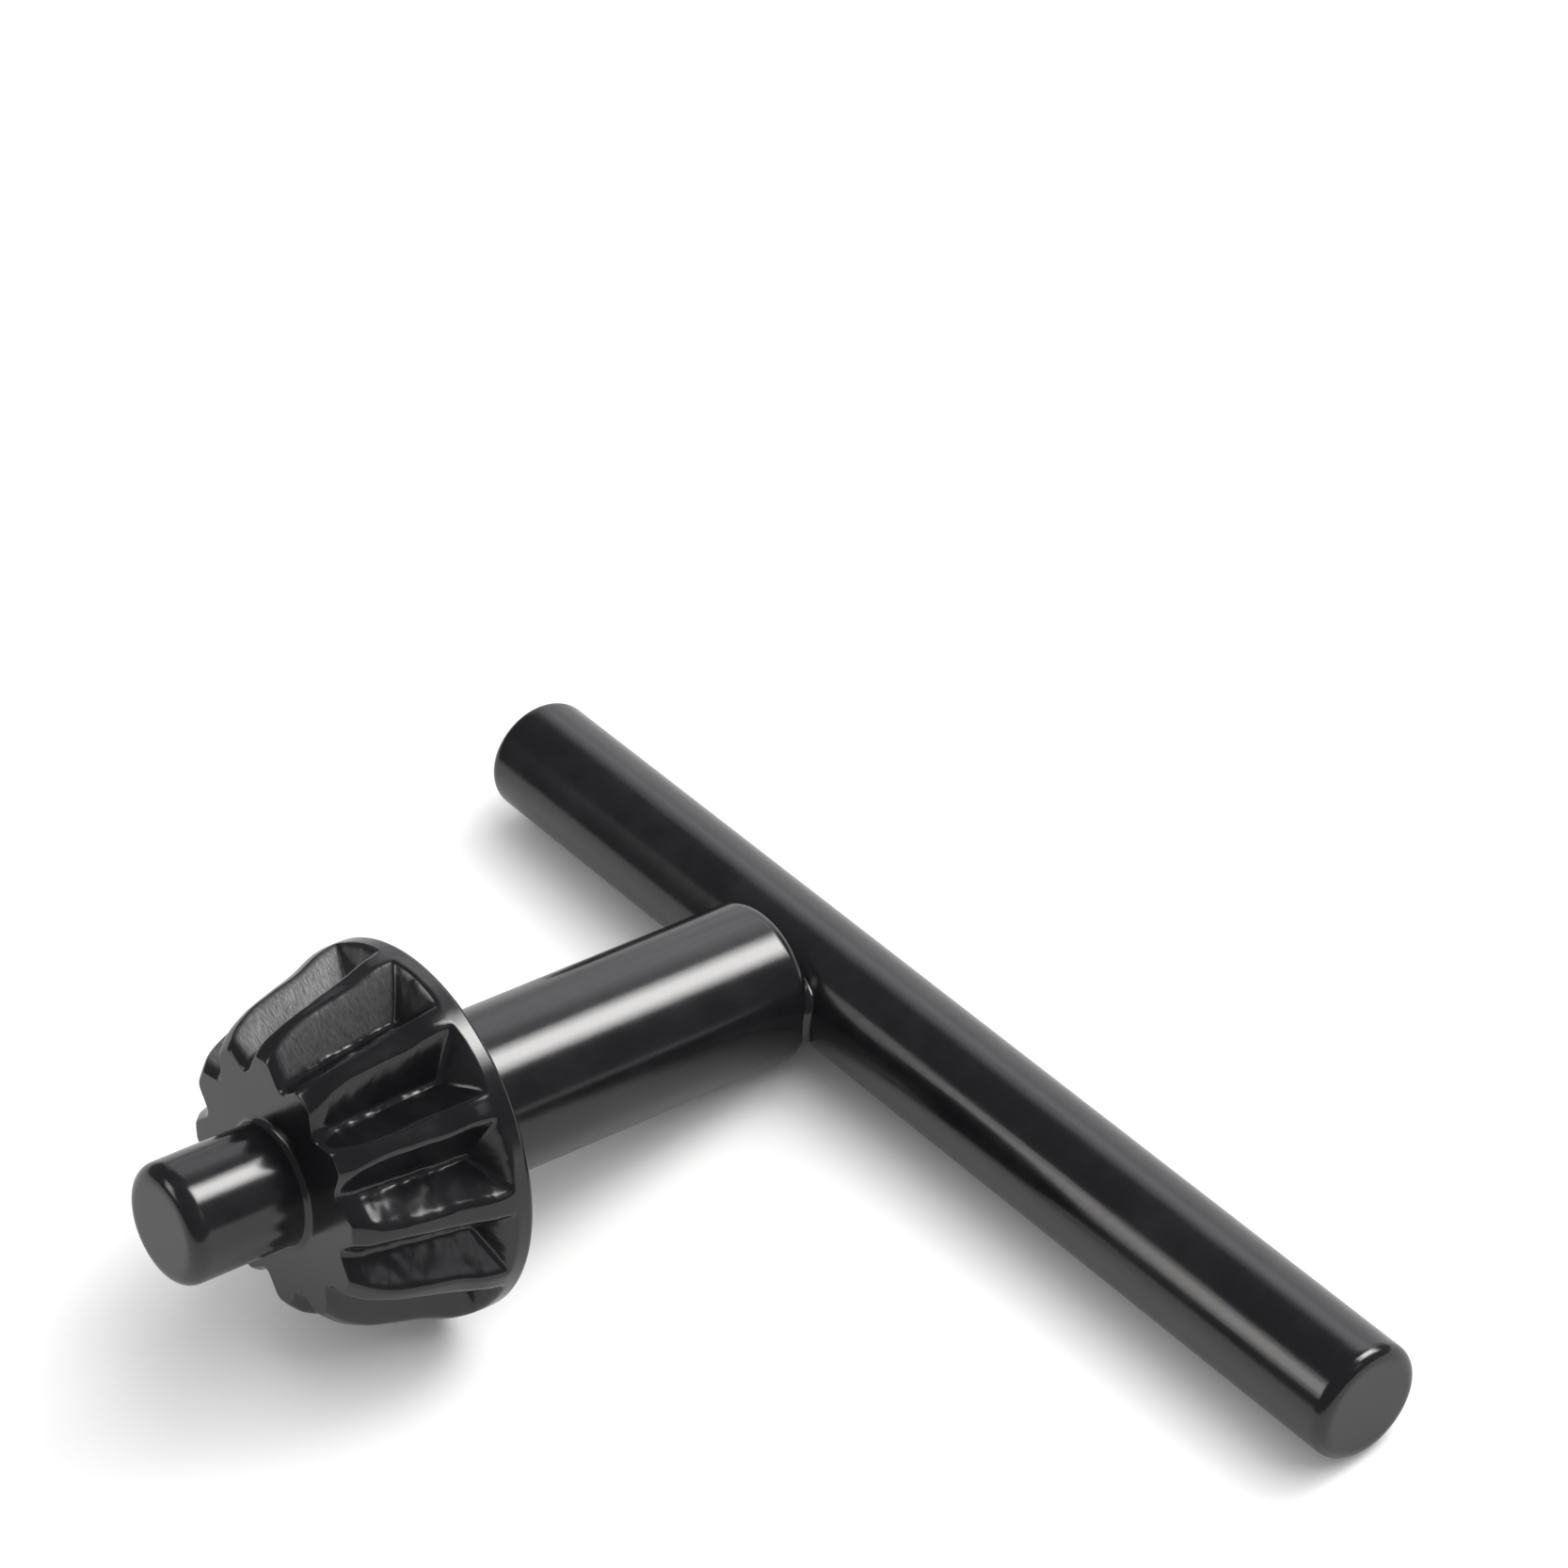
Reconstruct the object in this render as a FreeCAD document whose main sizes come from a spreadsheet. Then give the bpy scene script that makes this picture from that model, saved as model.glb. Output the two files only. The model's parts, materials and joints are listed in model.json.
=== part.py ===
# Drill chuck key: a forged steel head with a bevel pinion and a pilot pin, and a plain round
# cross handle welded over the end of its shank.
#
# Each piece is drawn in the key's own frame: the origin is where the shank's axis meets the
# handle's axis, +X runs along the shank to the pilot, +Y along the handle's long arm. The whole
# key is then laid down as it rests on a bench, on the pinion's flange and the shank's foot, with
# +Z up and the frame's origin on the bench below the middle of the key's box.

import FreeCAD, Part
import os

import Sketcher

os.makedirs("parts", exist_ok=True)
doc = FreeCAD.newDocument("drill_chuck_key")

# Driving sizes in millimetres, turns in degrees
SIZES = {
    "handle_diameter": 8.0,
    "handle_long_arm": 54.0,
    "handle_short_arm": 29.6,
    "handle_end_round": 0.9,
    "shank_diameter": 11.0,
    "shank_end_round": 0.9,
    "handle_seat_depth": 0.6,
    "bead_thickness": 0.45,
    "bead_height": 6.0,
    "bead_overhang": 0.4,
    "handle_to_flange": 30.9,
    "back_collar_step": 1.5,
    "back_collar_height": 0.9,
    "back_collar_bevel": 0.3,
    "back_collar_root": 0.5,
    "flange_root": 0.4,
    "flange_diameter": 24.6,
    "flange_bevel": 0.3,
    "rim_width": 1.5,
    "pinion_length": 9.4,
    "nose_length": 2.15,
    "nose_diameter": 20.04,
    "front_face_diameter": 17.2,
    "front_face_bevel": 0.25,
    "tooth_count": 12,
    "tooth_turn": 24.85,
    "gap_start": 1.3,
    "gap_wall_lean": 24.0,
    "gap_floor_back": 0.24,
    "gap_floor_front": 0.4,
    "gap_root_back": 9.35,
    "gap_root_front": 7.7,
    "gap_flank_angle": 44.0,
    "cut_clearance": 0.5,
    "pilot_diameter": 8.0,
    "pilot_length": 8.2,
    "pilot_root": 0.45,
    "pilot_tip_round": 1.1,
}

# Radii and stations along the key's axis that follow from the driving sizes
STATIONS = {
    "handle_radius": "Sizes.handle_diameter / 2",
    "shank_radius": "Sizes.shank_diameter / 2",
    "back_collar_radius": "shank_radius + Sizes.back_collar_step",
    "flange_radius": "Sizes.flange_diameter / 2",
    "nose_radius": "Sizes.nose_diameter / 2",
    "front_face_radius": "Sizes.front_face_diameter / 2",
    "pilot_radius": "Sizes.pilot_diameter / 2",
    "shank_start": "handle_radius - Sizes.handle_seat_depth",
    "flange_back": "Sizes.handle_to_flange",
    "back_collar_start": "flange_back - Sizes.back_collar_height",
    "rim_front": "flange_back + Sizes.rim_width",
    "front_face": "rim_front + Sizes.pinion_length",
    "nose_start": "front_face - Sizes.nose_length",
    "pilot_tip": "front_face + Sizes.pilot_length",
}

# The tooth gap is a V: a wall at its back that leans away from the pilot, a narrow floor that
# falls towards it, and two flat flanks. It is cut out past the front face and past the tips.
TOOTH_GAP = {
    "lean": "Sizes.gap_wall_lean",
    "wall_on_axis": "Stations.flange_back + Sizes.gap_start + Stations.flange_radius * tan(lean)",
    "wall_foot": "wall_on_axis - Sizes.gap_root_back * tan(lean)",
    "floor_length": "Stations.front_face - wall_foot",
    "floor_fall": "(Sizes.gap_root_front - Sizes.gap_root_back) / floor_length",
    "floor_spread": "(Sizes.gap_floor_front - Sizes.gap_floor_back) / 2 / floor_length",
    "cut_length": "floor_length + Sizes.cut_clearance",
    "back_root_up": "Sizes.gap_root_back / cos(lean)",
    "back_floor_out": "Sizes.gap_floor_back / 2",
    "back_mouth_up": "(Stations.flange_radius + Sizes.cut_clearance) / cos(lean)",
    "front_root_up": "Sizes.gap_root_back + floor_fall * cut_length",
    "front_floor_out": "back_floor_out + floor_spread * cut_length",
    "front_mouth_up": "Stations.nose_radius + Sizes.cut_clearance",
    "front_flank": "tan(Sizes.gap_flank_angle)",
    "back_flank": "front_flank * (cos(lean) + floor_fall * sin(lean)) - floor_spread * sin(lean)",
    "front_mouth_out": "front_floor_out + front_flank * (front_mouth_up - front_root_up)",
    "back_mouth_out": "back_floor_out + back_flank * (back_mouth_up - back_root_up)",
}

# How the key lies: the corner of the flange's bevel touches the bench, and so does either the
# shank's rounded foot or the round handle, whichever reaches lower.
REST = {
    "rim_along": "Stations.flange_back + Sizes.flange_bevel",
    "rim_down": "Stations.flange_radius",
    "foot_along": "Stations.shank_start + Sizes.shank_end_round",
    "foot_down": "Stations.shank_radius - Sizes.shank_end_round",
    "foot_span": "hypot(rim_along - foot_along; rim_down - foot_down)",
    "foot_tilt": "atan2(rim_down - foot_down; rim_along - foot_along)"
                 " - asin(Sizes.shank_end_round / foot_span)",
    "handle_span": "hypot(rim_along; rim_down)",
    "handle_tilt": "atan2(rim_down; rim_along) - asin(Stations.handle_radius / handle_span)",
    "tilt": "min(foot_tilt; handle_tilt)",
    "foot_height": "foot_down * cos(tilt) + Sizes.shank_end_round - foot_along * sin(tilt)",
    "axis_height": "max(foot_height; Stations.handle_radius)",
    "tip_along": "Stations.pilot_tip - Sizes.pilot_tip_round",
    "tip_down": "Stations.pilot_radius - Sizes.pilot_tip_round",
    "reach": "tip_along * cos(tilt) + tip_down * sin(tilt) + Sizes.pilot_tip_round",
    "axis_shift": "(Stations.handle_radius - reach) / 2",
    "side_shift": "(Sizes.handle_short_arm - Sizes.handle_long_arm) / 2",
}

LAID_DOWN = "placement(vector(Rest.axis_shift; Rest.side_shift; Rest.axis_height); rotation(0; -Rest.tilt; 0))"


def fill_sheet(name, cells):
    """Write one row per value, with the value's name as the cell's alias."""
    sheet = doc.addObject("Spreadsheet::Sheet", name)
    for row, (alias, content) in enumerate(cells.items(), start=1):
        sheet.set(f"A{row}", alias)
        sheet.set(f"B{row}", content)
        sheet.setAlias(f"B{row}", alias)
    doc.recompute()
    return sheet


def formulas(cells):
    return {alias: "=" + content for alias, content in cells.items()}


fill_sheet("Sizes", {alias: str(number) for alias, number in SIZES.items()})
fill_sheet("Stations", formulas(STATIONS))
fill_sheet("ToothGap", formulas(TOOTH_GAP))
fill_sheet("Rest", formulas(REST))


# Helpers for bodies, sketches and rounded edges

def new_body(name):
    body = doc.addObject("PartDesign::Body", name)
    body.Label = name
    body.setExpression("Placement", LAID_DOWN)
    return body


def origin_feature(body, role):
    return next(feature for feature in body.Origin.OriginFeatures if feature.Role == role)


def new_sketch(body, name, role):
    sketch = body.newObject("Sketcher::SketchObject", name)
    sketch.AttachmentSupport = [(origin_feature(body, role), "")]
    sketch.MapMode = "FlatFace"
    return sketch


def value_of(owner, expression):
    return float(FreeCAD.Units.Quantity(owner.evalExpression(expression)).Value)


def bind(sketch, constraint, name, expression):
    """Add a dimension to a sketch and tie it to an expression."""
    index = sketch.addConstraint(constraint)
    sketch.renameConstraint(index, name)
    sketch.setExpression(f"Constraints.{name}", expression)


def draw_outline(sketch, corners):
    """Draw a closed outline through corners given as pairs of expressions.

    A corner whose height is "axis" lies on the sketch's horizontal axis.
    """
    start, end = (1, 2)
    axis_line = -1
    points = []
    for along, up in corners:
        height = 0.0 if up == "axis" else value_of(sketch, up)
        points.append(FreeCAD.Vector(value_of(sketch, along), height, 0))
    for index, point in enumerate(points):
        sketch.addGeometry(Part.LineSegment(point, points[(index + 1) % len(points)]), False)
    for index in range(len(points)):
        following = (index + 1) % len(points)
        sketch.addConstraint(Sketcher.Constraint("Coincident", index, end, following, start))
    for index, (along, up) in enumerate(corners):
        distance = Sketcher.Constraint("DistanceX", index, start, points[index].x)
        bind(sketch, distance, f"along_{index}", along)
        if up == "axis":
            sketch.addConstraint(Sketcher.Constraint("PointOnObject", index, start, axis_line))
        else:
            distance = Sketcher.Constraint("DistanceY", index, start, points[index].y)
            bind(sketch, distance, f"up_{index}", up)


def draw_circle(sketch, radius):
    """Draw a circle about the sketch's origin."""
    circle_centre = (0, 3)
    sketch_origin = (-1, 1)
    circle = Part.Circle(FreeCAD.Vector(0, 0, 0), FreeCAD.Vector(0, 0, 1), value_of(sketch, radius))
    sketch.addGeometry(circle, False)
    sketch.addConstraint(Sketcher.Constraint("Coincident", *circle_centre, *sketch_origin))
    bind(sketch, Sketcher.Constraint("Radius", 0, value_of(sketch, radius)), "radius", radius)


def ring_edges(feature, along, radius, axis):
    """Name the circular edges about one axis that lie at a station and have a radius."""
    found = []
    for index, edge in enumerate(feature.Shape.Edges, start=1):
        if not isinstance(edge.Curve, Part.Circle):
            continue
        at_station = abs(edge.Curve.Center.dot(axis) - along) < 1e-4
        if at_station and abs(edge.Curve.Radius - radius) < 1e-4:
            found.append(f"Edge{index}")
    return found


def cut_edge(kind, body, name, along, radius, size, axis):
    """Round or bevel one ring edge of a body; where it is and its size are expressions."""
    doc.recompute()
    base = body.Tip
    edges = ring_edges(base, value_of(body, along), value_of(body, radius), axis)
    feature = body.newObject(f"PartDesign::{kind}", name)
    feature.Base = (base, edges)
    feature.setExpression("Radius" if kind == "Fillet" else "Size", size)


def round_edge(body, name, along, radius, size, axis=FreeCAD.Vector(1, 0, 0)):
    cut_edge("Fillet", body, name, along, radius, size, axis)


def bevel_edge(body, name, along, radius, size, axis=FreeCAD.Vector(1, 0, 0)):
    cut_edge("Chamfer", body, name, along, radius, size, axis)


def within(size, *walls):
    """A round or bevel that takes less than half of each wall beside it."""
    return f"min(Sizes.{size}; " + "; ".join(f"0.48 * ({wall})" for wall in walls) + ")"


# Cross handle: a plain round bar with rounded ends, its long arm towards +Y

cross_handle = new_body("cross_handle")

bar_section = new_sketch(cross_handle, "bar_section", "XZ_Plane")
draw_circle(bar_section, "Stations.handle_radius")

bar = cross_handle.newObject("PartDesign::Pad", "bar")
bar.Profile = bar_section
bar.Reversed = True
bar.SideType = "Two sides"
bar.setExpression("Length", "Sizes.handle_long_arm")
bar.setExpression("Length2", "Sizes.handle_short_arm")

ALONG_HANDLE = FreeCAD.Vector(0, 1, 0)
HANDLE_ROUND = within("handle_end_round", "Sizes.handle_diameter")
round_edge(cross_handle, "long_arm_end", "Sizes.handle_long_arm", "Stations.handle_radius",
           HANDLE_ROUND, ALONG_HANDLE)
round_edge(cross_handle, "short_arm_end", "-Sizes.handle_short_arm", "Stations.handle_radius",
           HANDLE_ROUND, ALONG_HANDLE)


# Key head: shank, collar, flange, pinion and pilot, turned as one piece about the shank's axis

key_head = new_body("key_head")

turned_profile = new_sketch(key_head, "turned_profile", "XY_Plane")
draw_outline(turned_profile, [
    ("Stations.shank_start", "axis"),
    ("Stations.shank_start", "Stations.shank_radius"),
    ("Stations.back_collar_start", "Stations.shank_radius"),
    ("Stations.back_collar_start", "Stations.back_collar_radius"),
    ("Stations.flange_back", "Stations.back_collar_radius"),
    ("Stations.flange_back", "Stations.flange_radius"),
    ("Stations.rim_front", "Stations.flange_radius"),
    ("Stations.nose_start", "Stations.nose_radius"),
    ("Stations.front_face", "Stations.front_face_radius"),
    ("Stations.front_face", "Stations.pilot_radius"),
    ("Stations.pilot_tip", "Stations.pilot_radius"),
    ("Stations.pilot_tip", "axis"),
])

turned_blank = key_head.newObject("PartDesign::Revolution", "turned_blank")
turned_blank.Profile = turned_profile
turned_blank.ReferenceAxis = (turned_profile, ["H_Axis"])
turned_blank.Angle = 360

round_edge(key_head, "shank_foot", "Stations.shank_start", "Stations.shank_radius",
           within("shank_end_round", "Sizes.shank_diameter"))
bevel_edge(key_head, "collar_root", "Stations.back_collar_start", "Stations.shank_radius",
           within("back_collar_root", "Sizes.back_collar_step"))
bevel_edge(key_head, "collar_edge", "Stations.back_collar_start", "Stations.back_collar_radius",
           within("back_collar_bevel", "Sizes.back_collar_step", "Sizes.back_collar_height"))
bevel_edge(key_head, "flange_foot", "Stations.flange_back", "Stations.back_collar_radius",
           within("flange_root", "Sizes.back_collar_height"))
bevel_edge(key_head, "flange_edge", "Stations.flange_back", "Stations.flange_radius",
           within("flange_bevel", "Sizes.rim_width"))
bevel_edge(key_head, "front_edge", "Stations.front_face", "Stations.front_face_radius",
           within("front_face_bevel", "Stations.front_face_radius - Stations.pilot_radius"))
bevel_edge(key_head, "pilot_foot", "Stations.front_face", "Stations.pilot_radius",
           within("pilot_root", "Stations.front_face_radius - Stations.pilot_radius"))
round_edge(key_head, "pilot_end", "Stations.pilot_tip", "Stations.pilot_radius",
           within("pilot_tip_round", "Sizes.pilot_diameter"))


# Bevel teeth: one gap is a loft between two sections, repeated round the axis

def gap_corners(end):
    """Four corners of the gap's section at one of its ends."""
    floor_out = f"ToothGap.{end}_floor_out"
    root_up = f"ToothGap.{end}_root_up"
    mouth_out = f"ToothGap.{end}_mouth_out"
    mouth_up = f"ToothGap.{end}_mouth_up"
    return [
        (f"-{floor_out}", root_up),
        (floor_out, root_up),
        (mouth_out, mouth_up),
        (f"-{mouth_out}", mouth_up),
    ]


gap_back = new_sketch(key_head, "gap_back", "YZ_Plane")
gap_back.setExpression("AttachmentOffset", "placement(vector(0; 0; ToothGap.wall_on_axis);"
                                           " rotation(Sizes.tooth_turn; 0; -ToothGap.lean))")
draw_outline(gap_back, gap_corners("back"))

gap_front = new_sketch(key_head, "gap_front", "YZ_Plane")
gap_front.setExpression("AttachmentOffset", "placement(vector(0; 0; ToothGap.wall_foot + ToothGap.cut_length);"
                                            " rotation(Sizes.tooth_turn; 0; 0))")
draw_outline(gap_front, gap_corners("front"))

doc.recompute()
blank_volume = key_head.Tip.Shape.Volume
tooth_gap = key_head.newObject("PartDesign::SubtractiveLoft", "tooth_gap")
tooth_gap.Profile = gap_back
tooth_gap.Sections = [gap_front]
tooth_gap.Ruled = True
doc.recompute()

pinion_teeth = key_head.newObject("PartDesign::PolarPattern", "pinion_teeth")
pinion_teeth.Originals = [tooth_gap]
pinion_teeth.Axis = (origin_feature(key_head, "X_Axis"), [""])
pinion_teeth.Angle = 360
pinion_teeth.setExpression("Occurrences", "Sizes.tooth_count")
key_head.Tip = pinion_teeth
doc.recompute()
toothed_volume = pinion_teeth.Shape.Volume


# Handle seat: the shank's end is hollowed to the handle's round, so the bar beds in it

seat_section = new_sketch(key_head, "seat_section", "XZ_Plane")
draw_circle(seat_section, "Stations.handle_radius")

handle_seat = key_head.newObject("PartDesign::Pocket", "handle_seat")
handle_seat.Profile = seat_section
handle_seat.Type = "ThroughAll"
handle_seat.SideType = "Symmetric"
doc.recompute()
seated_volume = handle_seat.Shape.Volume


# Weld bead: a thin sleeve of weld round the handle, no higher than the seat needs and no wider
# than the shank and its overhang, with the handle and the head taken out of it

SLEEVE_LENGTH = "Sizes.shank_diameter * 2"

bead_sleeve = doc.addObject("Part::Cylinder", "bead_sleeve")
bead_sleeve.setExpression("Radius", "Stations.handle_radius + Sizes.bead_thickness")
bead_sleeve.setExpression("Height", SLEEVE_LENGTH)
bead_sleeve.setExpression("Placement", f"{LAID_DOWN} * placement(vector(0; {SLEEVE_LENGTH} / 2; 0);"
                                       " rotation(0; 0; 90))")

bead_outline = doc.addObject("Part::Cylinder", "bead_outline")
bead_outline.setExpression("Radius", "Stations.shank_radius + Sizes.bead_overhang")
bead_outline.setExpression("Height", "Sizes.handle_diameter")
bead_outline.setExpression("Placement", f"{LAID_DOWN} * placement(vector(0; 0; 0); rotation(0; 90; 0))")

bead_band = doc.addObject("Part::Box", "bead_band")
bead_band.setExpression("Length", "Sizes.handle_diameter")
bead_band.setExpression("Width", SLEEVE_LENGTH)
bead_band.setExpression("Height", "Sizes.bead_height")
bead_band.setExpression("Placement", f"{LAID_DOWN} * placement(vector(0; -{SLEEVE_LENGTH} / 2;"
                                     " -Sizes.bead_height / 2); rotation(0; 0; 0))")

bead_blank = doc.addObject("Part::MultiCommon", "bead_blank")
bead_blank.Shapes = [bead_sleeve, bead_outline, bead_band]

bead_on_handle = doc.addObject("Part::Cut", "bead_on_handle")
bead_on_handle.Base = bead_blank
bead_on_handle.Tool = cross_handle

weld_bead = doc.addObject("Part::Cut", "weld_bead")
weld_bead.Base = bead_on_handle
weld_bead.Tool = key_head
weld_bead.Label = "weld_bead"

doc.recompute()


# Check every object and every cut before anything is written

for item in doc.Objects:
    if "Invalid" in item.State or "Error" in item.State:
        raise RuntimeError(f"{item.Name} did not build: {item.State}")
if not blank_volume > toothed_volume > seated_volume:
    raise RuntimeError("the tooth gaps or the handle seat cut nothing")

PIECES = [key_head, cross_handle, weld_bead]
for piece in PIECES:
    if piece.Shape.isNull() or not piece.Shape.isValid():
        raise RuntimeError(f"{piece.Label} has no valid shape")
    if len(piece.Shape.Solids) != 1:
        raise RuntimeError(f"{piece.Label} is not one solid")

for piece in PIECES:
    piece.Shape.exportStep(f"parts/{piece.Label}.step")
    box = piece.Shape.BoundBox
    print(f"{piece.Label}: {piece.Shape.Volume:.1f} mm3, {len(piece.Shape.Faces)} faces,"
          f" x {box.XMin:.2f} to {box.XMax:.2f}, y {box.YMin:.2f} to {box.YMax:.2f},"
          f" z {box.ZMin:.2f} to {box.ZMax:.2f}")
print(f"tilt {value_of(doc.Rest, 'Rest.tilt'):.3f} degrees,"
      f" handle axis at x {value_of(doc.Rest, 'Rest.axis_shift'):.3f},"
      f" y {value_of(doc.Rest, 'Rest.side_shift'):.3f}, z {value_of(doc.Rest, 'Rest.axis_height'):.3f}")
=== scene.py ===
import json
import math

import bpy
import numpy as np
from mathutils import Matrix, Vector


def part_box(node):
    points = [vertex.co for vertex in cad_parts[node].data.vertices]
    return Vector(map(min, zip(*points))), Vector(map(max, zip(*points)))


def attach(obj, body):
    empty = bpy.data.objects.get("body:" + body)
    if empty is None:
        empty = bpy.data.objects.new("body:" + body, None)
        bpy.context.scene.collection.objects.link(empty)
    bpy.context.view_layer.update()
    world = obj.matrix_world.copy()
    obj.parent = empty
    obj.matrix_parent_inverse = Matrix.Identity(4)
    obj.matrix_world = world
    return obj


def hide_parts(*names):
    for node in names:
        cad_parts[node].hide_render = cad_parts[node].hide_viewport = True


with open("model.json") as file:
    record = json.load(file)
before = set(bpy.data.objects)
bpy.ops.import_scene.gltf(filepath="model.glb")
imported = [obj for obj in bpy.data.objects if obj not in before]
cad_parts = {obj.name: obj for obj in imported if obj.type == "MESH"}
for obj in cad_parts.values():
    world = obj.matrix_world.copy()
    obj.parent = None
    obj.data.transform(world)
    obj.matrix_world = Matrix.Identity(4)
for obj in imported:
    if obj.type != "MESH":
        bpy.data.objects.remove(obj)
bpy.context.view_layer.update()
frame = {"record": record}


# Key head
# The shank, collar, flange, bevel pinion and pilot are one piece of steel, forged and then turned.
# The twelve teeth are cut one gap at a time, and a stoned burr leaves their crests uneven.

pilot = frame["record"]["mounts"][0]
axis = Vector(pilot["axis"]).normalized()
handle_low, handle_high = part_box("cross_handle")
crossing = (handle_low + handle_high) / 2
crossing.y = pilot["pos_m"][1]
lean = math.atan2(axis.z, axis.x)
lay_down = Matrix.Translation(crossing) @ Matrix.Rotation(-lean, 4, "Y") @ Matrix.Scale(0.001, 4)

# Sizes in millimetres. Places along the shank are measured from the handle's middle line.
HANDLE_RADIUS = 4.0
SHANK_END = 3.4
SHANK_RADIUS = 5.5
COLLAR_BACK = 30.0
COLLAR_RADIUS = 7.0
FLANGE_BACK = 30.9
RIM_RADIUS = 12.3
FRONT_FACE = 41.8
FRONT_RADIUS = 8.6
PILOT_RADIUS = 4.0
PILOT_END = 50.0
SEAT_REACH = 6.0


def turned_outline(corners):
    """Rows (along, radius) of a turned outline from its sharp corners.

    A corner is (along, radius, rounding, rows on the rounding, rows on the way to the next).
    A row stands close to each end of a straight run, so that the run is shaded straight."""
    points = [Vector(corner[:2]) for corner in corners]
    closest = 0.12
    rows = []
    for number, (_, _, rounding, arc_rows, straight_rows) in enumerate(corners):
        corner = points[number]
        if rounding == 0.0:
            rows.append(corner)
        else:
            arriving = (corner - points[number - 1]).normalized()
            leaving = (points[number + 1] - corner).normalized()
            turn = arriving.angle(leaving)
            inward = (leaving - arriving * math.cos(turn)).normalized()
            start = corner - arriving * rounding * math.tan(turn / 2)
            for step in range(arc_rows + 1):
                swept = turn * step / arc_rows
                reach = arriving * math.sin(swept) + inward * (1 - math.cos(swept))
                rows.append(start + reach * rounding)
        rows.append(straight_rows)
    outline = []
    for number, row in enumerate(rows):
        if isinstance(row, Vector):
            outline.append(row)
        elif number + 1 < len(rows) and row > 0:
            start, end = rows[number - 1], rows[number + 1]
            margin = min(closest / (end - start).length, 0.3 / row)
            steps = [margin] + [step / row for step in range(1, row)] + [1 - margin]
            outline += [start.lerp(end, step) for step in steps]
    return np.array(outline)


def mesh_object(name, points, faces, place):
    """A smooth mesh whose points keep where they were on the key's own axes, in millimetres."""
    mesh = bpy.data.meshes.new(name)
    mesh.from_pydata(np.asarray(points).tolist(), [], faces)
    kept = mesh.attributes.new("place", "FLOAT_VECTOR", "POINT")
    kept.data.foreach_set("vector", np.asarray(place, dtype=np.float32).ravel())
    mesh.shade_smooth()
    made = bpy.data.objects.new(name, mesh)
    bpy.context.scene.collection.objects.link(made)
    return made


def lathe(outline, column_angles):
    """Points and outward faces of a closed turned piece, with a ring of angles for each row."""
    points = []
    rings = []
    for (along, radius), angles in zip(outline, column_angles):
        if radius < 1e-6:
            angles = angles[:1]
        rings.append(np.arange(len(angles)) + len(points))
        points += [(along, radius * math.cos(angle), radius * math.sin(angle)) for angle in angles]
    faces = []
    for number in range(len(rings) - 1):
        back, front = rings[number], rings[number + 1]
        if len(back) == 1:
            faces += [(back[0], front[i - 1], front[i]) for i in range(len(front))]
        elif len(front) == 1:
            faces += [(back[i - 1], front[0], back[i]) for i in range(len(back))]
        elif len(back) == len(front):
            faces += [(back[i - 1], front[i - 1], front[i], back[i]) for i in range(len(back))]
        else:
            faces += zipped(back, front, column_angles[number], column_angles[number + 1])
    return np.array(points), [tuple(int(corner) for corner in reversed(face)) for face in faces]


def zipped(back, front, back_angles, front_angles):
    """Triangles between two rings that have different numbers of columns."""
    back_ends = np.append(back_angles, back_angles[0] + math.tau)
    front_ends = np.append(front_angles, front_angles[0] + math.tau)
    faces = []
    i = j = 0
    while i < len(back) or j < len(front):
        a, b = back[i % len(back)], front[j % len(front)]
        if j == len(front) or (i < len(back) and back_ends[i + 1] <= front_ends[j + 1]):
            i += 1
            faces.append((a, b, back[i % len(back)]))
        else:
            j += 1
            faces.append((a, b, front[j % len(front)]))
    return faces


TOOTH_COUNT = 12
TOOTH_TURN = 24.85

# Columns crowd where a tooth gap has its floor and its crests.
pitch = 360 / TOOTH_COUNT
sweep = np.linspace(-pitch / 2, pitch / 2, 601)
crowding = 1 + 2.2 * np.exp(-((sweep / 1.6) ** 2)) + 2.0 * np.exp(-((np.abs(sweep) - 10.3) ** 2))
counted = np.concatenate([[0], np.cumsum((crowding[1:] + crowding[:-1]) / 2)])
per_pitch = np.interp(np.linspace(0, counted[-1], 41)[:-1], counted, sweep)
tooth_columns = (per_pitch + TOOTH_TURN + pitch * np.arange(TOOTH_COUNT)[:, None]).ravel()
tooth_columns = np.radians(tooth_columns)
plain_columns = np.linspace(0, math.tau, 121)[:-1] + tooth_columns[0]

# The crests leave the rim level, fall away towards the nose and round off into the front face.
stations, knots = np.array(
    [
        (31.2, 12.3), (32.3, 12.3), (33.3, 12.16), (35.4, 11.42),
        (37.4, 10.92), (39.4, 10.32), (40.8, 9.57), (41.8, 8.65),
    ]
).T
slopes = np.gradient(knots, stations)


def crest_radius(where):
    """The radius of the pinion's uncut crest at any station along the shank."""
    where = np.clip(where, stations[0], stations[-1])
    span = np.clip(np.searchsorted(stations, where, side="right") - 1, 0, len(stations) - 2)
    length = stations[span + 1] - stations[span]
    t = (where - stations[span]) / length
    curve = (
        knots[span] * (1 + 2 * t) * (1 - t) ** 2
        + knots[span + 1] * t * t * (3 - 2 * t)
        + slopes[span] * length * t * (1 - t) ** 2
        - slopes[span + 1] * length * t * t * (1 - t)
    )
    return np.minimum(curve, RIM_RADIUS)


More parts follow.
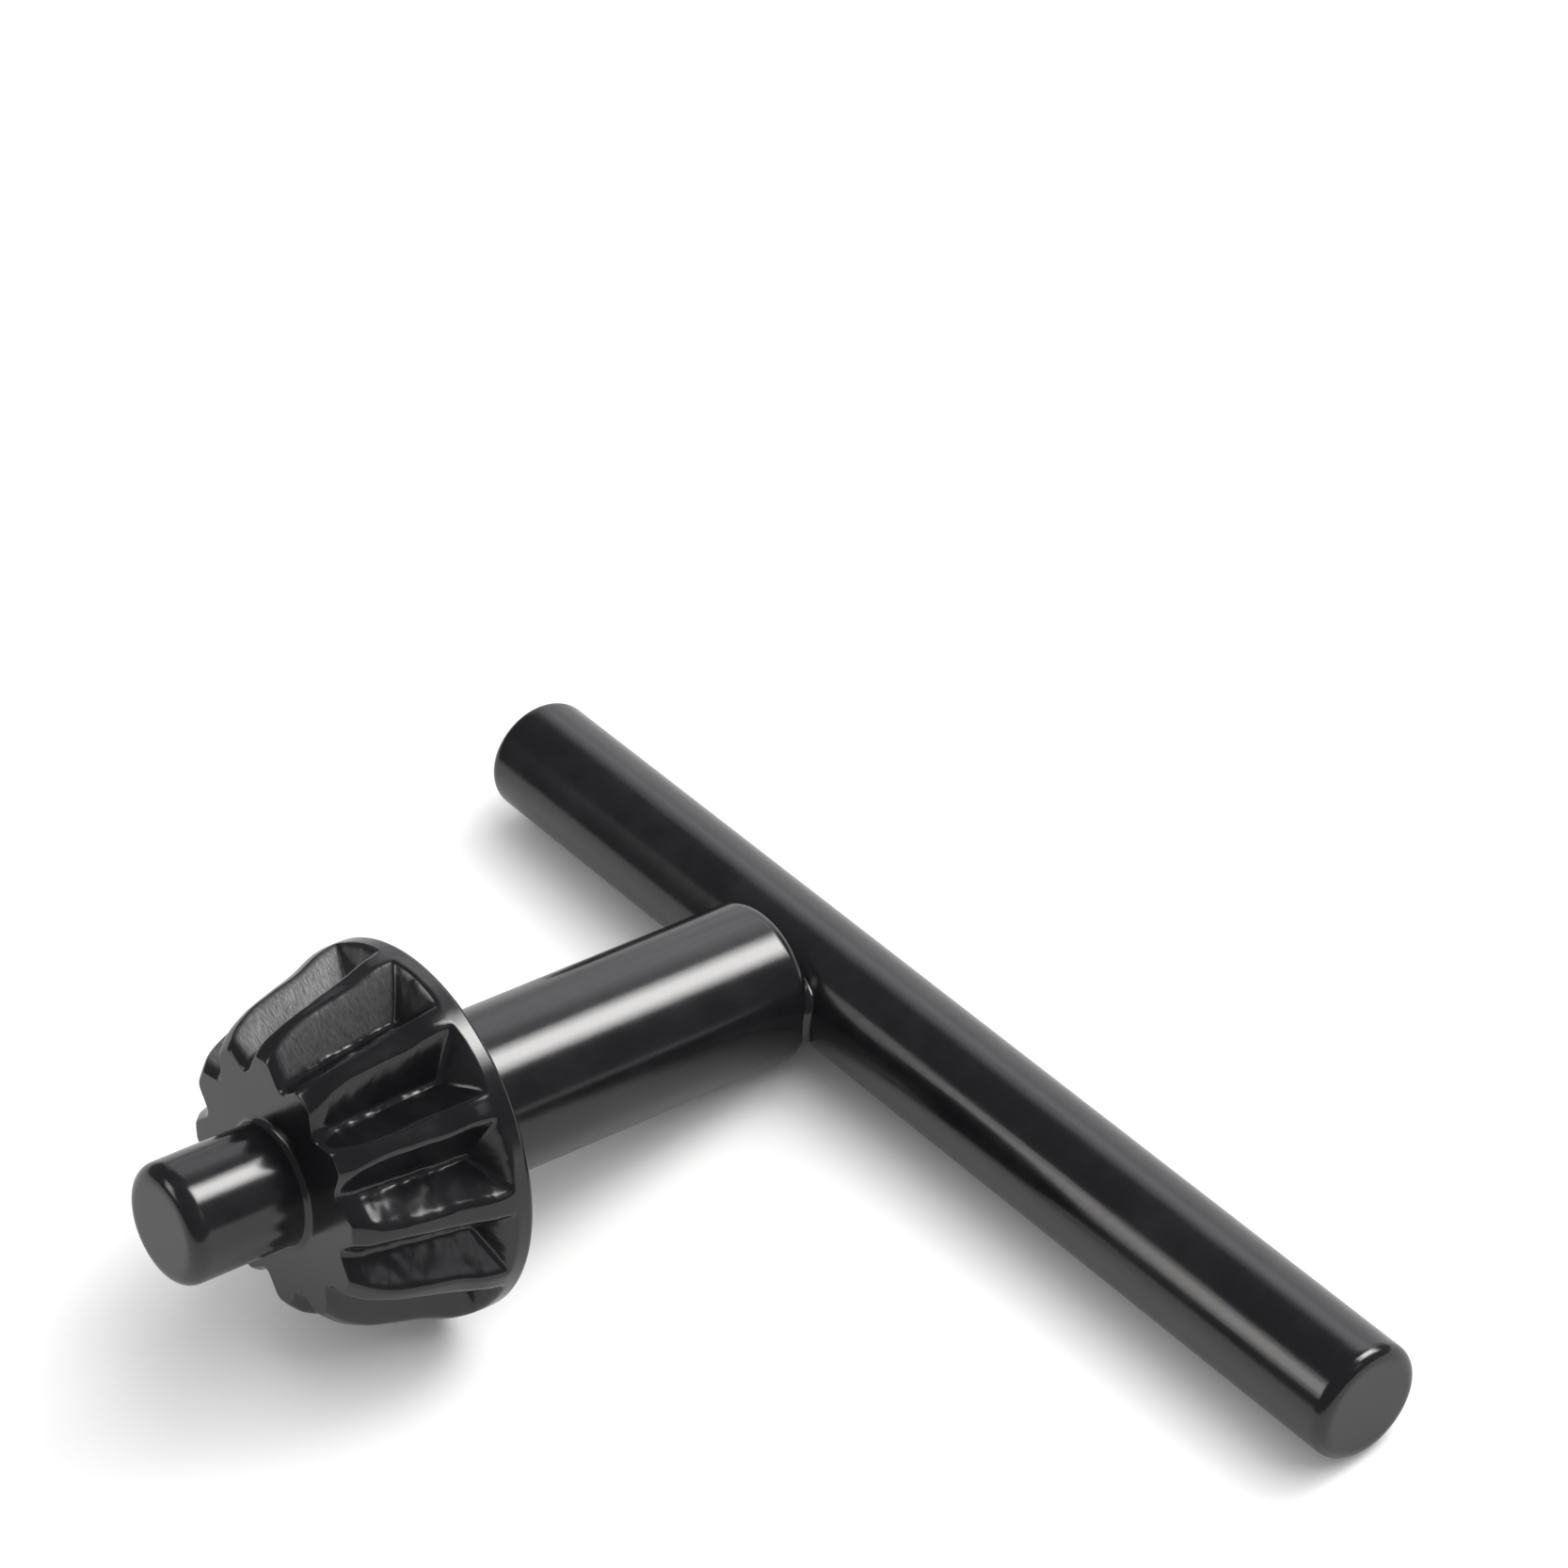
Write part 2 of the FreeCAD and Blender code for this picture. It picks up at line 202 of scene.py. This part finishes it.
crest_rows = np.concatenate([np.linspace(32.2, 34.0, 24), np.linspace(34.15, 41.65, 52)])
crest_corners = [(float(row), float(crest_radius(row)), 0.0, 0, 0) for row in crest_rows]
head_outline = turned_outline(
    [
        (SHANK_END, 0.0, 0.0, 0, 10),
        (SHANK_END, SHANK_RADIUS, 1.05, 9, 30),
        (COLLAR_BACK, SHANK_RADIUS, 0.6, 6, 2),
        (COLLAR_BACK, COLLAR_RADIUS, 0.3, 5, 1),
        (FLANGE_BACK, COLLAR_RADIUS, 0.4, 5, 4),
        (FLANGE_BACK, RIM_RADIUS, 0.35, 6, 7),
        *crest_corners,
        (FRONT_FACE, FRONT_RADIUS, 0.3, 6, 12),
        (FRONT_FACE, PILOT_RADIUS, 0.45, 8, 10),
        (PILOT_END, PILOT_RADIUS, 1.1, 8, 6),
        (PILOT_END, 0.0, 0.0, 0, 0),
    ]
)
along, radius = head_outline.T
on_pinion = (along > FLANGE_BACK - 0.001) & (along < FRONT_FACE + 0.001)
on_pinion &= radius > np.where(along < FLANGE_BACK + 0.001, RIM_RADIUS - 0.6, 6.0)
rings = [tooth_columns if toothed else plain_columns for toothed in on_pinion]
points, faces = lathe(head_outline, rings)

along, across, up = points.T
seat = np.sqrt(np.clip((HANDLE_RADIUS + 0.02) ** 2 - up**2, 0, None))
points[:, 0] = np.where(along < SEAT_REACH, np.maximum(along, seat), along)
radius = np.hypot(across, up)
before_cuts = crest_radius(along)
share = np.clip((radius - PILOT_RADIUS - 0.8) / (FRONT_RADIUS - PILOT_RADIUS - 1.4), 0, 1)
share = np.where(along > FRONT_FACE - 0.001, share, 1.0)
share = np.where((along < FLANGE_BACK + 0.001) | (along > FRONT_FACE + 0.001), 0.0, share)

key_head = mesh_object("key_head_look", points, faces, points)
for name, values in (("before_cuts", before_cuts), ("share", share)):
    kept = key_head.data.attributes.new(name, "FLOAT", "POINT")
    kept.data.foreach_set("value", values.astype(np.float32))


# The key is dipped in black stoving lacquer after it is welded. The coat is thin and glossy, so
# the grain of the forging and the tool marks show through it. On torn flanks on one side of the
# pinion a light grey is mixed in. It is partly bare steel and partly a painted sheen that stands in
# for the reflection these flanks catch.
DEEP_COAT = (0.006, 0.006, 0.007, 1.0)
THIN_COAT = (0.011, 0.011, 0.0125, 1.0)
# Painted sheen as well as bare steel: this grey lightens the torn flanks in place of a reflection.
BARE_STEEL_AND_SHEEN = (0.15, 0.15, 0.154, 1.0)
RELIEF = 0.00002


class Nodes:
    """A node tree, to which nodes are added with their settings and inputs in one call."""

    def __init__(self, tree):
        self.tree = tree
        tree.nodes.clear()

    def add(self, kind, settings=None, values=None, output=0):
        made = self.tree.nodes.new(kind)
        for name, setting in (settings or {}).items():
            setattr(made, name, setting)
        for name, value in (values or {}).items():
            if isinstance(value, Value):
                self.tree.links.new(value.socket, made.inputs[name])
            else:
                made.inputs[name].default_value = value
        return Value(self, made.outputs[output] if len(made.outputs) else None)

    def maths(self, operation, *operands):
        return self.add("ShaderNodeMath", {"operation": operation}, dict(enumerate(operands)))

    def vector_maths(self, operation, *operands):
        return self.add("ShaderNodeVectorMath", {"operation": operation}, dict(enumerate(operands)))

    def noise(self, where, scale, detail, roughness, seed):
        settings = {"noise_dimensions": "4D"}
        values = {
            "Vector": where, "W": seed, "Scale": scale, "Detail": detail, "Roughness": roughness
        }
        return self.add("ShaderNodeTexNoise", settings, values)

    def clamp(self, value):
        return self.add("ShaderNodeClamp", None, {"Value": value})

    def mix_colours(self, share, first, second):
        values = {0: share, 6: first, 7: second}
        return self.add("ShaderNodeMix", {"data_type": "RGBA"}, values, output=2)


class Value:
    """One output in a node tree. It takes the ordinary signs of arithmetic."""

    def __init__(self, nodes, socket):
        self.nodes = nodes
        self.socket = socket

    def __add__(self, other):
        return self.nodes.maths("ADD", self, other)

    def __radd__(self, other):
        return self.nodes.maths("ADD", other, self)

    def __sub__(self, other):
        return self.nodes.maths("SUBTRACT", self, other)

    def __rsub__(self, other):
        return self.nodes.maths("SUBTRACT", other, self)

    def __mul__(self, other):
        return self.nodes.maths("MULTIPLY", self, other)

    def __rmul__(self, other):
        return self.nodes.maths("MULTIPLY", other, self)

    def __truediv__(self, other):
        return self.nodes.maths("DIVIDE", self, other)

    def __rtruediv__(self, other):
        return self.nodes.maths("DIVIDE", other, self)

    def __abs__(self):
        return self.nodes.maths("ABSOLUTE", self)


def black_lacquer(name, along, around, streaks, seed):
    """Lacquer over metal whose tool marks are drawn out by the given stretch in each direction."""
    material = bpy.data.materials.new(name)
    material.use_nodes = True
    nodes = Nodes(material.node_tree)
    place = nodes.add("ShaderNodeAttribute", {"attribute_name": "place"}, output="Vector")
    drawn = nodes.vector_maths("MULTIPLY", place, (along, around, around))
    peel = nodes.noise(place, 0.9, 3.0, 0.55, seed)
    streak = nodes.noise(drawn, 1.0, 4.0, 0.6, seed + 1.0)
    grain = nodes.noise(place, 9.0, 3.0, 0.6, seed + 2.0)
    patch = nodes.noise(place, 0.25, 4.0, 0.6, seed + 3.0)
    torn_and_sheen = nodes.add("ShaderNodeAttribute", {"attribute_name": "torn_and_sheen"}, output="Fac")
    across_cut = nodes.vector_maths("MULTIPLY", place, (7.0, 3.0, 3.0))
    tears = nodes.noise(across_cut, 1.0, 3.0, 0.65, seed + 4.0) - 0.5
    height = peel * 0.3 + streak * streaks + grain * 0.06 + tears * torn_and_sheen * 3.0
    bump = nodes.add(
        "ShaderNodeBump", None, {"Height": height, "Strength": 1.0, "Distance": RELIEF}
    )
    thin = nodes.add(
        "ShaderNodeMapRange", None, {"Value": patch, "From Min": 0.45, "From Max": 0.7}
    )
    colour = nodes.mix_colours(thin, DEEP_COAT, THIN_COAT)
    # Torn flanks are mixed towards grey. This paints in the sheen they catch, as well as bare
    # steel.
    bared_and_sheen = nodes.clamp(torn_and_sheen * (tears * 1.5 + 0.6))
    colour = nodes.mix_colours(bared_and_sheen, colour, BARE_STEEL_AND_SHEEN)
    values = {
        "Base Color": colour,
        "Roughness": 0.105 + patch * 0.07 + grain * 0.04 + torn_and_sheen * 0.18,
        "IOR": 1.58,
        "Normal": bump,
    }
    coat = nodes.add("ShaderNodeBsdfPrincipled", None, values)
    nodes.add("ShaderNodeOutputMaterial", None, {"Surface": coat})
    return material


head_coat = black_lacquer("black coat on the head", 3.0, 0.35, 0.12, 1.0)

cutter = bpy.data.node_groups.new("tooth cutter", "GeometryNodeTree")
cutter.is_modifier = True
cutter_inputs = {
    "Tooth count": float(TOOTH_COUNT),
    "Turn of the teeth": math.radians(TOOTH_TURN),
    "Gap radius at the back": 9.35,
    "Gap radius at the front": 7.7,
    "Half floor at the back": 0.18,
    "Half floor at the front": 0.28,
    "Flank slope at the back": 0.891,
    "Flank slope at the front": 1.056,
    "Back wall on the axis": 37.676,
    "Back wall lean": math.tan(math.radians(24)),
    "Back wall foot": 33.513,
    "Front face": FRONT_FACE,
    "Edge rounding": 0.6,
    "Root rounding at the back": 0.1,
    "Root rounding at the front": 0.45,
    "Mouth length": 1.1,
    "Mouth fall": 0.33,
    "Burr": 0.13,
    # The angle around the pinion where the tearing and the painted sheen are strongest.
    "Middle of the tearing and sheen": math.radians(130),
    "Seed": 4.0,
}
cutter.interface.new_socket("Geometry", in_out="INPUT", socket_type="NodeSocketGeometry")
for name in cutter_inputs:
    cutter.interface.new_socket(name, in_out="INPUT", socket_type="NodeSocketFloat")
cutter.interface.new_socket("Coat", in_out="INPUT", socket_type="NodeSocketMaterial")
cutter.interface.new_socket("Geometry", in_out="OUTPUT", socket_type="NodeSocketGeometry")
nodes = Nodes(cutter)
group_input = nodes.add("NodeGroupInput").socket.node


def given(name):
    return Value(nodes, group_input.outputs[name])


def split(vector):
    node = nodes.add("ShaderNodeSeparateXYZ", None, {"Vector": vector}).socket.node
    return [Value(nodes, output) for output in node.outputs]


def stored(name):
    settings = {"data_type": "FLOAT"}
    return nodes.add("GeometryNodeInputNamedAttribute", settings, {"Name": name})


position = nodes.add("GeometryNodeInputPosition")
x, y, z = split(position)
r = nodes.maths("MAXIMUM", nodes.maths("SQRT", y * y + z * z), 0.001)
pitch_angle = math.tau / given("Tooth count")
turned = nodes.maths("ARCTAN2", z, y) - given("Turn of the teeth") + pitch_angle * 0.5
side = nodes.maths("WRAP", turned, pitch_angle, 0.0) - pitch_angle * 0.5
phi = abs(side)
cos_phi = nodes.maths("COSINE", phi)
sin_phi = nodes.maths("SINE", phi)


def along_gap(name):
    start, end = given(name + " at the back"), given(name + " at the front")
    return start + (end - start) * (x - given("Back wall foot")) / (
        given("Front face") - given("Back wall foot")
    )


gap_radius, half_floor, slope, root_rounding = map(
    along_gap, ("Gap radius", "Half floor", "Flank slope", "Root rounding")
)
mouth = nodes.maths("MAXIMUM", x - given("Front face") + given("Mouth length"), 0.0)
gap_radius = gap_radius - mouth * mouth * given("Mouth fall")
floor = gap_radius / cos_phi
flank = (slope * gap_radius - half_floor) / (slope * cos_phi - sin_phi)
trough = nodes.maths("SMOOTH_MAX", floor, flank, root_rounding)
wall = (given("Back wall on the axis") - x) / (given("Back wall lean") * cos_phi)
wave = nodes.noise(position, 0.42, 2.0, 0.5, given("Seed")) - 0.5
fine_wave = nodes.noise(position, 1.6, 2.0, 0.5, given("Seed") + 1.0) - 0.5
burr = (wave * 3.0 + fine_wave * 0.8) * given("Burr")
cut = nodes.maths("SMOOTH_MAX", trough, wall, given("Edge rounding")) + burr
blank = stored("before_cuts")
depth = blank - nodes.maths("SMOOTH_MIN", blank, cut, given("Edge rounding"))
depth = depth * stored("share")
factor = (r - depth) / r
moved = nodes.add("ShaderNodeCombineXYZ", None, {"X": x, "Y": y * factor, "Z": z * factor})
shaped = nodes.add(
    "GeometryNodeSetPosition", None, {"Geometry": given("Geometry"), "Position": moved}
)
# The cutter tore one flank of the gaps on one side of the pinion. The same flanks get a painted
# sheen from the lighter colour mixed in there. The tearing and the painted sheen start clear of
# the gap's floor, its back wall and the front face.
in_gap = nodes.maths("MINIMUM", depth * 4.0, 1.0)
on_flank = nodes.clamp((side * r - half_floor) * 6.0)
off_wall = nodes.clamp((trough - wall) * 3.0)
off_face = nodes.clamp((given("Front face") - x - 0.5) * 3.0)
from_tearing_and_sheen_middle = nodes.maths("ARCTAN2", z, y) - given("Middle of the tearing and sheen")
one_side = nodes.clamp(nodes.maths("COSINE", from_tearing_and_sheen_middle) * 2.6 - 1.6)
tearing_and_sheen_on_flanks = in_gap * on_flank * off_wall * off_face * one_side
shaped = nodes.add(
    "GeometryNodeStoreNamedAttribute",
    {"data_type": "FLOAT", "domain": "POINT"},
    {"Geometry": shaped, "Name": "torn_and_sheen", "Value": tearing_and_sheen_on_flanks},
)
shaped = nodes.add("GeometryNodeRealizeInstances", None, {"Geometry": shaped})
shaped = nodes.add(
    "GeometryNodeSetMaterial", None, {"Geometry": shaped, "Material": given("Coat")}
)
nodes.add("NodeGroupOutput", None, {"Geometry": shaped})


def run_nodes(piece, group, settings):
    """Sets the inputs of a node group on a piece and keeps the result as its plain mesh."""
    modifier = piece.modifiers.new(group.name, "NODES")
    modifier.node_group = group
    for item in group.interface.items_tree:
        if item.item_type == "SOCKET" and item.in_out == "INPUT" and item.name in settings:
            modifier[item.identifier] = settings[item.name]
    bpy.context.view_layer.update()
    graph = bpy.context.evaluated_depsgraph_get()
    result = bpy.data.meshes.new_from_object(
        piece.evaluated_get(graph), preserve_all_data_layers=True, depsgraph=graph
    )
    piece.modifiers.clear()
    piece.data = result


run_nodes(key_head, cutter, {**cutter_inputs, "Coat": head_coat})
key_head.data.transform(lay_down)
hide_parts("key_head")
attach(key_head, "root")


# Cross handle
# The cross handle is a length of drawn round bar, sawn off and faced at both ends. Drawing left
# faint scratches along it, and its ends are rounded off by tumbling.

short_end = (handle_low.y - crossing.y) * 1000
long_end = (handle_high.y - crossing.y) * 1000
bar_outline = turned_outline(
    [
        (short_end, 0.0, 0.0, 0, 9),
        (short_end, HANDLE_RADIUS, 0.9, 8, 84),
        (long_end, HANDLE_RADIUS, 0.9, 8, 9),
        (long_end, 0.0, 0.0, 0, 0),
    ]
)
bar_columns = np.linspace(0, math.tau, 129)[:-1]
points, faces = lathe(bar_outline, [bar_columns] * len(bar_outline))
on_bar = np.column_stack([points[:, 1], points[:, 0], -points[:, 2]])
cross_handle = mesh_object("cross_handle_look", on_bar, faces, points)
cross_handle.data.transform(lay_down)
cross_handle.data.materials.append(black_lacquer("black coat on the bar", 0.12, 2.5, 0.3, 11.0))
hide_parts("cross_handle")
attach(cross_handle, "root")


# Weld bead
# A thin run of weld metal fills the crease between the shank's end and the bar. It is laid all the
# way round, is narrow and lumpy, and the lacquer has rounded it over.

CREASE_ACROSS = 5.36
CREASE_UP = 2.25
BEAD_FROM_BAR_LINE = 4.12
BEAD_RADIUS = 0.44
LUMP_HEIGHT = 0.07
BEAD_FLATNESS = 0.85
BEAD_TURNS = 260
BEAD_SIDES = 22
bead_angle = np.linspace(0, math.tau, BEAD_TURNS + 1)[:-1]
bead_reach = (np.cos(bead_angle) / CREASE_ACROSS) ** 4 + (np.sin(bead_angle) / CREASE_UP) ** 4
bead_reach = bead_reach**-0.25
bead_across = bead_reach * np.cos(bead_angle)
bead_up = bead_reach * np.sin(bead_angle)
bead_along = np.sqrt(BEAD_FROM_BAR_LINE**2 - bead_up**2)
bead_line = np.column_stack([bead_along, bead_across, bead_up])
ahead = np.roll(bead_line, -1, 0) - np.roll(bead_line, 1, 0)
ahead /= np.linalg.norm(ahead, axis=1, keepdims=True)
outward = np.column_stack([bead_along, np.zeros(BEAD_TURNS), bead_up])
sideways = np.cross(ahead, outward)
sideways /= np.linalg.norm(sideways, axis=1, keepdims=True)
upright = np.cross(sideways, ahead)
rng = np.random.default_rng(7)
lumps = sum(
    rng.uniform(0.5, 1.0) / order * np.sin(order * bead_angle + rng.uniform(0, math.tau))
    for order in (3, 5, 8, 13, 21, 34)
)
bead_radius = BEAD_RADIUS + LUMP_HEIGHT * lumps
side_angle = np.linspace(0, math.tau, BEAD_SIDES + 1)[:-1]
ridges = 1 + 0.1 * np.cos(3 * side_angle + 0.8)
from_line = bead_radius[:, None] * ridges
points = (
    bead_line[:, None]
    + sideways[:, None] * (from_line * np.cos(side_angle))[:, :, None]
    + upright[:, None] * (from_line * np.sin(side_angle) * BEAD_FLATNESS)[:, :, None]
).reshape(-1, 3)
faces = []
for turn in range(BEAD_TURNS):
    here = turn * BEAD_SIDES
    there = (turn + 1) % BEAD_TURNS * BEAD_SIDES
    for side in range(BEAD_SIDES):
        next_side = (side + 1) % BEAD_SIDES
        faces.append((there + side, there + next_side, here + next_side, here + side))
weld_bead = mesh_object("weld_bead_look", points, faces, points)
weld_bead.data.transform(lay_down)
weld_bead.data.materials.append(black_lacquer("black coat on the weld", 1.0, 1.0, 2.0, 21.0))
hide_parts("weld_bead")
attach(weld_bead, "root")


# Bench
# The key lies on a large sheet of plain matt white card, which runs on behind it without an edge.
# Only the key's own shadow marks it. Far from the key the card is seen as even white.

bench_mesh = bpy.data.meshes.new("white card")
HALF_CARD = 3.0
card_corners = [(-1, -1), (1, -1), (1, 1), (-1, 1)]
card_corners = [(HALF_CARD * along, HALF_CARD * across, 0) for along, across in card_corners]
bench_mesh.from_pydata(card_corners, [], [(0, 1, 2, 3)])
bench = bpy.data.objects.new("white card", bench_mesh)
bpy.context.scene.collection.objects.link(bench)
card = bpy.data.materials.new("white card")
card.use_nodes = True
nodes = Nodes(card.node_tree)
WHITE = (1.0, 1.0, 1.0, 1.0)
matt = nodes.add("ShaderNodeBsdfDiffuse", None, {"Color": (0.92, 0.92, 0.92, 1.0)})
glow = nodes.add("ShaderNodeEmission", None, {"Color": WHITE, "Strength": 1.05})
on_card = nodes.add("ShaderNodeTexCoord", output="Object")
away = nodes.add("ShaderNodeVectorMath", {"operation": "LENGTH"}, {0: on_card}, output="Value")
far = nodes.add("ShaderNodeMapRange", None, {"Value": away, "From Min": 0.12, "From Max": 0.4})
bright = nodes.add("ShaderNodeMixShader", None, {0: far, 1: matt, 2: glow})
half_matt = nodes.add("ShaderNodeBsdfDiffuse", None, {"Color": (0.58, 0.58, 0.58, 1.0)})
even = nodes.add("ShaderNodeEmission", None, {"Color": WHITE, "Strength": 0.04})
even_white = nodes.add("ShaderNodeAddShader", None, {0: half_matt, 1: even})
path = nodes.add("ShaderNodeLightPath").socket.node
mirrored = nodes.maths(
    "MAXIMUM",
    Value(nodes, path.outputs["Is Glossy Ray"]),
    Value(nodes, path.outputs["Is Transmission Ray"]),
)
shown = nodes.add("ShaderNodeMixShader", None, {0: mirrored, 1: matt, 2: even_white})
looked_at = Value(nodes, path.outputs["Is Camera Ray"])
shown = nodes.add("ShaderNodeMixShader", None, {0: looked_at, 1: shown, 2: bright})
nodes.add("ShaderNodeOutputMaterial", None, {"Surface": shown})
bench_mesh.materials.append(card)


# Studio light
# Two softboxes, a side panel and two pale walls stand round the key, each brightest at its middle.
# The ceiling light shades the card and isn't mirrored in the key. The rest of the room is dim.

LAMP_DISTANCE = 0.7


def softbox(name, azimuth, elevation, width, height, lean, radiance, tint, mirrored=True):
    """A soft light in the given direction from the key. Its size and lean are in degrees."""
    a, e = math.radians(azimuth), math.radians(elevation)
    towards = Vector((math.cos(e) * math.cos(a), math.cos(e) * math.sin(a), math.sin(e)))
    facing = towards.to_track_quat("Z", "Y").to_matrix().to_4x4()
    facing @= Matrix.Rotation(math.radians(lean), 4, "Z")
    for layer, share in enumerate((0.6, 1.0, 1.4)):
        lamp = bpy.data.lights.new(f"{name} {layer + 1}", "AREA")
        lamp.shape = "RECTANGLE"
        lamp.color = tint
        lamp.size = 2 * LAMP_DISTANCE * math.tan(math.radians(width / 2)) * share
        lamp.size_y = 2 * LAMP_DISTANCE * math.tan(math.radians(height / 2)) * share
        lamp.energy = radiance / 3 * math.pi * lamp.size * lamp.size_y
        box = bpy.data.objects.new(lamp.name, lamp)
        box.matrix_world = Matrix.Translation(towards * LAMP_DISTANCE * (1 + 0.02 * layer)) @ facing
        box.visible_diffuse = layer == 1
        box.visible_glossy = mirrored
        bpy.context.scene.collection.objects.link(box)


softbox(
    "tall softbox", azimuth=165, elevation=46, width=23, height=29, lean=27,
    radiance=14.0, tint=(1.0, 0.99, 0.97),
)
softbox(
    "left softbox", azimuth=-33.6, elevation=31.5, width=14, height=22, lean=30,
    radiance=3.8, tint=(1.0, 0.98, 0.95),
)
softbox(
    "white wall", azimuth=-140, elevation=14, width=46, height=42, lean=0,
    radiance=0.95, tint=(0.98, 0.97, 1.0),
)
softbox(
    "bright wall", azimuth=-151, elevation=36, width=32, height=20, lean=0,
    radiance=1.0, tint=(0.98, 0.97, 1.0),
)
softbox(
    "side panel", azimuth=112, elevation=37, width=10, height=12, lean=0,
    radiance=0.8, tint=(0.98, 0.97, 1.0),
)
softbox(
    "ceiling light", azimuth=145, elevation=58, width=60, height=46, lean=0,
    radiance=9.3, tint=(1.0, 1.0, 1.0), mirrored=False,
)

world = bpy.data.worlds.new("studio")
world.use_nodes = True
bpy.context.scene.world = world
nodes = Nodes(world.node_tree)
dim_room = nodes.add(
    "ShaderNodeBackground", None, {"Color": (0.95, 0.93, 1.0, 1.0), "Strength": 0.17}
)
soft_fill = nodes.add("ShaderNodeBackground", None, {"Color": WHITE, "Strength": 0.68})
path = nodes.add("ShaderNodeLightPath").socket.node
scattered = Value(nodes, path.outputs["Is Diffuse Ray"])
room = nodes.add("ShaderNodeMixShader", None, {0: scattered, 1: dim_room, 2: soft_fill})
nodes.add("ShaderNodeOutputWorld", None, {"Surface": room})


# Camera
# The camera stands where the photograph was taken from, with a long lens.

right = Vector((-0.77338839, 0.6204436, -0.13007741))
down = Vector((0.50009453, 0.47102548, -0.72666393))
forward = Vector((-0.38958421, -0.62704445, -0.67456609))
camera_data = bpy.data.cameras.new("camera")
camera_data.sensor_width = 36.0
camera_data.lens = 129.194
camera_data.clip_start = 0.01
camera = bpy.data.objects.new("camera", camera_data)
stand = Vector((0.116024, 0.2124, 0.261273))
turned_to_key = Matrix((right, -down, -forward)).transposed().to_4x4()
camera.matrix_world = Matrix.Translation(stand) @ turned_to_key
bpy.context.scene.collection.objects.link(camera)
bpy.context.scene.camera = camera
bpy.context.scene.view_settings.view_transform = "Standard"
